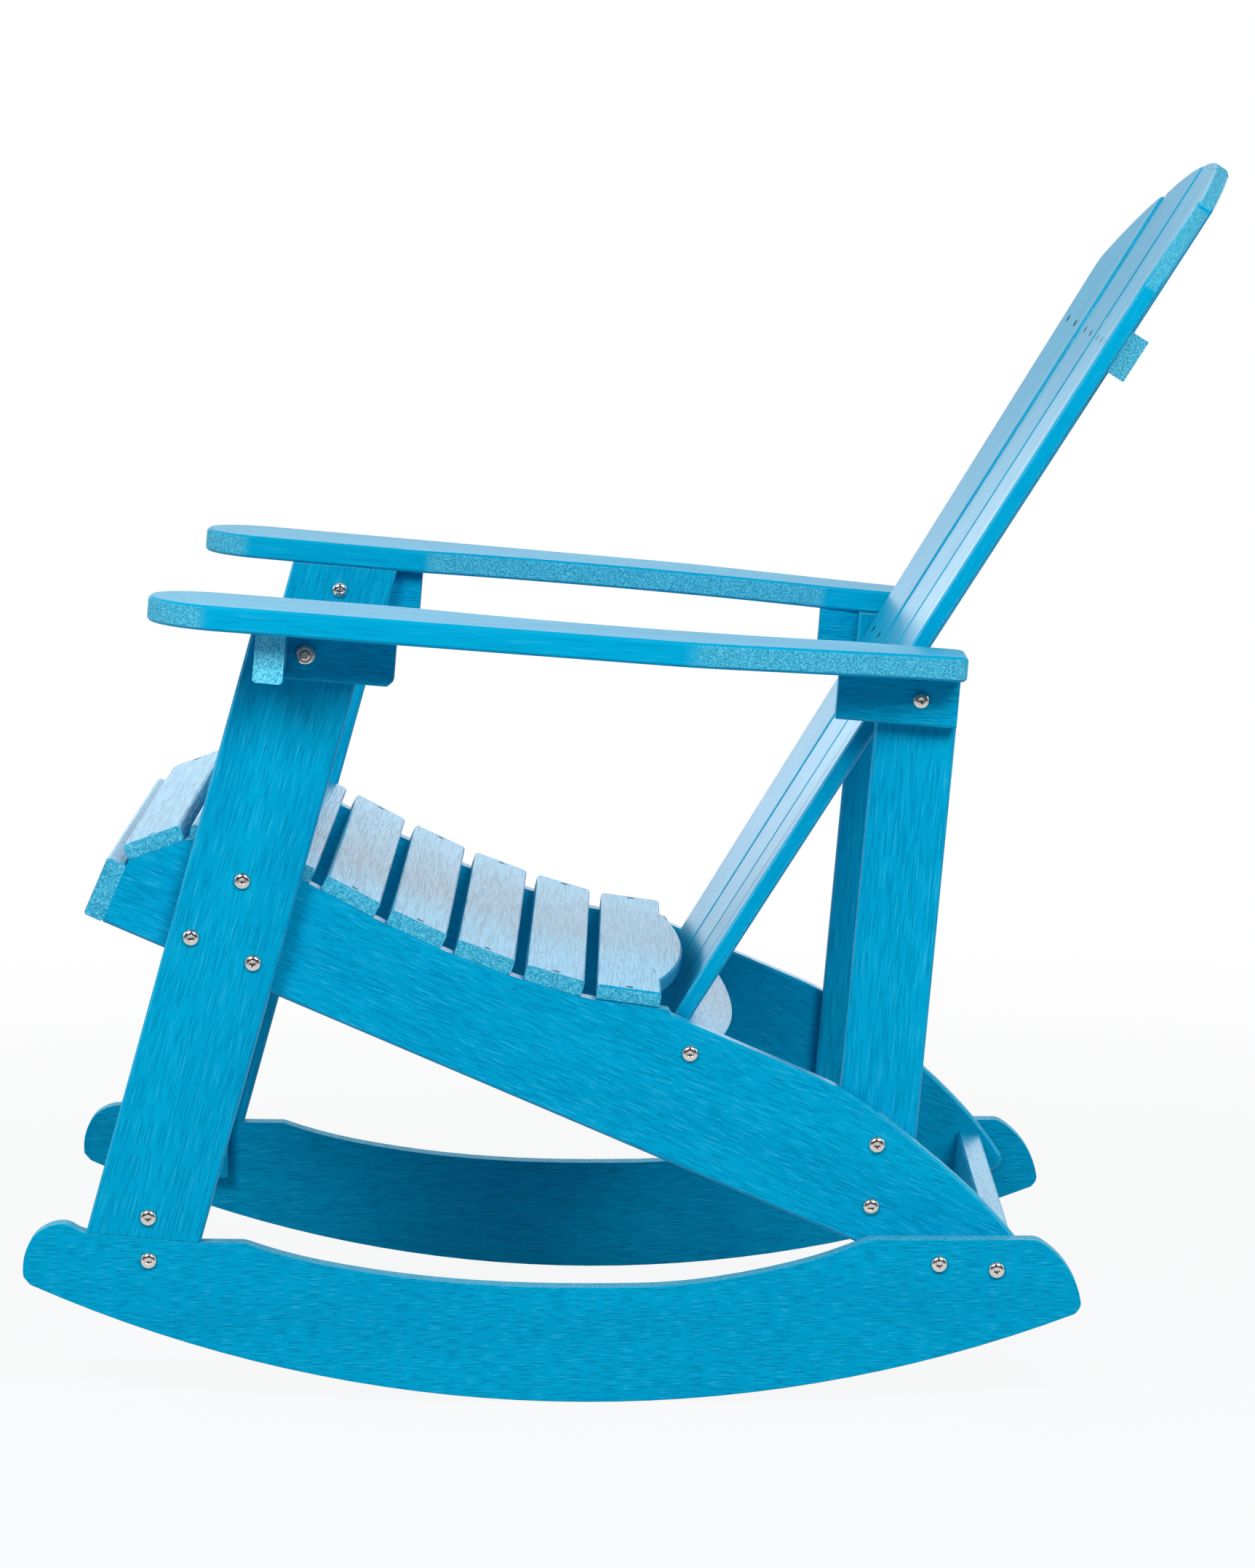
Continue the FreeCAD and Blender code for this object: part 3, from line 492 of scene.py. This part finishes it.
nearEnd = 0.1 * mm
bolts = bmesh.new()
source = mergedMesh("frame_bolts")
for index, part in enumerate(looseParts(source)):
    low, high = extent(part)
    axis = (low + high) / 2
    endRadius = [max(math.hypot(v.co.y - axis.y, v.co.z - axis.z) for v in part if abs(v.co.x - end) < nearEnd)
                 for end in (low.x, high.x)]
    sign = 1 if endRadius[0] > endRadius[1] else -1         # the head is the wider end
    head = low.x if sign > 0 else high.x
    seat = Vector((head + sign * bolt["headHeight"] * mm, axis.y, axis.z))
    length = (high.x - low.x) / mm - bolt["headHeight"]
    setInto(bolts, boltMesh(length), seat, Vector((sign, 0, 0)), index * bolt["roll"])
source.free()
finishFasteners("bolts_turned", "frame_bolts", bolts, brightSteel)

# Washers: stamped, so rounded at the upper rim
washer = {"radius": 7.6, "bore": 4.1, "thick": 1.4, "seatEase": 0.25, "rimFall": 0.35, "rimEase": 0.4,
          "boreEase": 0.2, "steps": 36, "roll": 0.9}
# Hexagon nuts: chamfered at both ends
nut = {"across": 12.6, "bore": 3.83, "height": 6.2, "boreEase": 0.5, "faceShare": 0.96, "chamferAt": 0.3,
       "chamferAngle": 30, "steps": 36, "roll": 0.9}


def washerMesh():
    outer, bore, thick = washer["radius"], washer["bore"], washer["thick"]
    workMesh = bmesh.new()
    turned(workMesh, [(0, bore), (0, outer - washer["seatEase"]), (washer["seatEase"], outer),
                      (thick - washer["rimFall"], outer), (thick, outer - washer["rimEase"]),
                      (thick, bore + washer["boreEase"]), (thick - washer["boreEase"], bore), (0, bore)],
           washer["steps"])
    return workMesh


def nutMesh():
    high, bore, half, ease, cut = nut["height"], nut["bore"], nut["across"] / 2, nut["boreEase"], nut["chamferAt"]
    face, outer = half * nut["faceShare"], half + cut
    workMesh = bmesh.new()
    turned(workMesh, [(ease, bore), (0, bore + ease), (0, face), (cut, outer), (high - cut, outer), (high, face),
                      (high, bore + ease), (high - ease, bore), (ease, bore)], nut["steps"])
    # The two outer rings go out to a hexagon and sink at its corners, where the chamfer cuts deeper
    slope = math.tan(math.radians(nut["chamferAngle"]))
    outerVerts = [v for v in workMesh.verts
                  if abs(math.hypot(v.co.y, v.co.z) - outer * mm) < merging["distance"]]
    for vert in outerVerts:
        reach, angle = hexagonReach(vert, nut["across"])
        start, inwards = (0, 1) if vert.co.x < high / 2 * mm else (high, -1)
        vert.co.x = start * mm + inwards * (reach - face * mm) * slope
        vert.co.y, vert.co.z = reach * math.cos(angle), reach * math.sin(angle)
    return workMesh


bracketsFrom = 0.3      # fasteners further out than this hold the arm brackets, and have their nuts outside
for name, node, make, size in (("washers_turned", "frame_washers", washerMesh, washer),
                               ("nuts_turned", "frame_nuts", nutMesh, nut)):
    group = bmesh.new()
    source = mergedMesh(node)
    for index, part in enumerate(looseParts(source)):
        low, high = extent(part)
        axis = (low + high) / 2
        sign = 1 if (axis.x > 0) == (abs(axis.x) > bracketsFrom) else -1
        seat = Vector((low.x if sign > 0 else high.x, axis.y, axis.z))
        setInto(group, make(), seat, Vector((sign, 0, 0)), index * size["roll"])
    source.free()
    finishFasteners(name, node, group, brightSteel)

# Countersunk screws with a cross recess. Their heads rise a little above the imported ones, into the eased mouths
# of their holes. The two beyond the upper cleat's ends hold a slat alone and end inside it.
screw = {"headRadius": 3.45, "headEase": 0.15, "headAt": 0.2, "neckAt": 2.0, "neck": 1.7, "tipLength": 4.0,
         "tipRadius": 1.25, "recessRim": 1.95, "crossReach": 1.7, "crossCore": 0.77, "crossHalfAngle": 8,
         "recessDepth": 1.43, "rise": 0.1, "inSlat": 11.0, "steps": 24, "roll": 0.8}


def screwMesh(length):
    # The head's face lies at 0, the tapering body to the right
    workMesh = bmesh.new()
    turned(workMesh, [(0, screw["recessRim"]), (0, screw["headRadius"] - screw["headEase"]),
                      (screw["headAt"], screw["headRadius"]), (screw["neckAt"], screw["neck"]),
                      (length - screw["tipLength"], screw["tipRadius"]), (length, 0.0)], screw["steps"])
    ring, lip = extrudeRing(workMesh, [edge for edge in workMesh.edges if edge.is_boundary])
    for vert in lip:
        angle = math.atan2(vert.co.z, vert.co.y)
        offAxis = abs((angle + math.pi / 4) % (math.pi / 2) - math.pi / 4)
        onCross = offAxis < math.radians(screw["crossHalfAngle"])
        reach = screw["crossReach"] if onCross else screw["crossCore"]
        vert.co.y, vert.co.z = reach * mm * math.cos(angle), reach * mm * math.sin(angle)
    pit = extrudeRing(workMesh, ring)[1]
    bmesh.ops.pointmerge(workMesh, verts=pit, merge_co=(screw["recessDepth"] * mm, 0, 0))
    return workMesh


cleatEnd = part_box("upper_back_cleat")[1].x
for name, node in (("seat_screws_turned", "seat_screws"), ("back_screws_turned", "back_screws")):
    group = bmesh.new()
    source = mergedMesh(node)
    for index, part in enumerate(looseParts(source)):
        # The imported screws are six-sided, so their ends are hexagons, the head's the wider one
        ends = {face for vert in part for face in vert.link_faces if len(face.verts) == 6}
        top = max(ends, key=lambda face: face.calc_area()).calc_center_median()
        tip = min(ends, key=lambda face: face.calc_area()).calc_center_median()
        way = (tip - top).normalized()
        length = (tip - top).length / mm + screw["rise"]
        if node == "back_screws" and abs(top.x) > cleatEnd:
            length = screw["inSlat"]
        setInto(group, screwMesh(length), top - way * screw["rise"] * mm, way, index * screw["roll"])
    source.free()
    # The screws take the steel painted dark, as the shade in their holes
    finishFasteners(name, node, group, screwShadeMaterial)
print("fasteners turned")


# Floor, light and background. Seen directly the floor is white, with the chair's soft shadow near it.
# In reflections the side behind the sitter's right is a white backdrop and the side of the camera a dim room.
studio = {
    "floor": "#AEB6C2", "reach": 30.0,
    "white": 0.91,                                  # share of plain white over the lit floor under the chair
    "plainFrom": 0.9, "plainAt": 2.6,               # metres out between which it grows to all of it
    "dimFloor": 0.10,                               # and in reflections falls to this
    "ambient": 0.07, "ambientTint": "#A9C6FF",
    "dimRoom": 0.06, "roomFrom": -0.1, "roomAt": 0.7,       # the backdrop's fade to the room, by direction in X
}
floorMesh = bmesh.new()
bmesh.ops.create_grid(floorMesh, x_segments=1, y_segments=1, size=studio["reach"])
floorMaterial, tree = freshMaterial("pale_studio_floor")
rays = addNode(tree, "ShaderNodeLightPath")
place = addNode(tree, "ShaderNodeTexCoord")
away = addNode(tree, "ShaderNodeVectorMath", {"operation": "LENGTH"}, input0=place.outputs["Object"])
shares = []
for rayKind, farValue in (("Is Camera Ray", 1.0), ("Is Glossy Ray", studio["dimFloor"])):
    fade = addNode(tree, "ShaderNodeMapRange", smooth, Value=away.outputs["Value"], From_Min=studio["plainFrom"],
                   From_Max=studio["plainAt"], To_Min=studio["white"], To_Max=farValue).outputs["Result"]
    shares.append(addNode(tree, "ShaderNodeMath", multiply, input0=fade, input1=rays.outputs[rayKind]).outputs[0])
share = addNode(tree, "ShaderNodeMath", maximum, input0=shares[0], input1=shares[1]).outputs[0]
matt = addNode(tree, "ShaderNodeBsdfDiffuse", Color=linearColour(studio["floor"]))
white = addNode(tree, "ShaderNodeEmission", Color=(1, 1, 1, 1), Strength=1.0)
floorMix = addNode(tree, "ShaderNodeMixShader", Fac=share, input1=matt.outputs[0], input2=white.outputs[0])
addNode(tree, "ShaderNodeOutputMaterial", Surface=floorMix.outputs[0])
floor = pieceFromMesh("floor", floorMesh, floorMaterial)

world = bpy.data.worlds.new("studio")
scene.world = world
world.use_nodes = True
tree = world.node_tree
tree.nodes.clear()
rays = addNode(tree, "ShaderNodeLightPath")
way = addNode(tree, "ShaderNodeSeparateXYZ", Vector=addNode(tree, "ShaderNodeTexCoord").outputs["Generated"])
backdrop = addNode(tree, "ShaderNodeMapRange", smooth, Value=way.outputs["X"], From_Min=studio["roomFrom"],
                   From_Max=studio["roomAt"], To_Min=1.0, To_Max=studio["dimRoom"]).outputs["Result"]
mirrored = addNode(tree, "ShaderNodeMath", multiply, input0=backdrop, input1=rays.outputs["Is Glossy Ray"])
seen = addNode(tree, "ShaderNodeMath", maximum, input0=rays.outputs["Is Camera Ray"],
               input1=rays.outputs["Is Transmission Ray"])
seen = addNode(tree, "ShaderNodeMath", maximum, input0=seen.outputs[0], input1=mirrored.outputs[0])
soft = addNode(tree, "ShaderNodeBackground", Color=linearColour(studio["ambientTint"]), Strength=studio["ambient"])
white = addNode(tree, "ShaderNodeBackground", Color=(1, 1, 1, 1), Strength=1.0)
worldMix = addNode(tree, "ShaderNodeMixShader", Fac=seen.outputs[0], input1=soft.outputs[0],
                   input2=white.outputs[0])
addNode(tree, "ShaderNodeOutputWorld", Surface=worldMix.outputs[0])

# Two soft boxes on the camera's side, one panel low behind, and weak fills for the other sides: place, size, watts
lamps = {"softbox_front": ((3.3, -1.6, 2.75), (1.5, 1.5), 91),
         "softbox_rear": ((3.3, 1.5, 2.75), (1.5, 1.5), 88),
         "panel_behind": ((-3.6, 0.3, 0.72), (4.5, 0.6), 17),
         "fill_front": ((-0.6, -4.0, 2.2), (2.0, 2.0), 70),
         "fill_rear": ((-0.6, 3.8, 2.2), (2.0, 2.0), 52),
         "fill_far": ((-3.2, -0.6, 3.2), (2.0, 2.0), 32)}
lampAim = Vector((0, 0, 0.45))
for name, (place, size, power) in lamps.items():
    lampData = bpy.data.lights.new(name, "AREA")
    lampData.shape = "RECTANGLE"
    lampData.size, lampData.size_y = size
    lampData.energy = power
    lamp = bpy.data.objects.new(name, lampData)
    lamp.location = place
    lamp.rotation_euler = (lampAim - Vector(place)).to_track_quat("-Z", "Y").to_euler()
    lamp.visible_camera = False
    scene.collection.objects.link(lamp)
scene.view_settings.view_transform = "Standard"
print("studio lit")
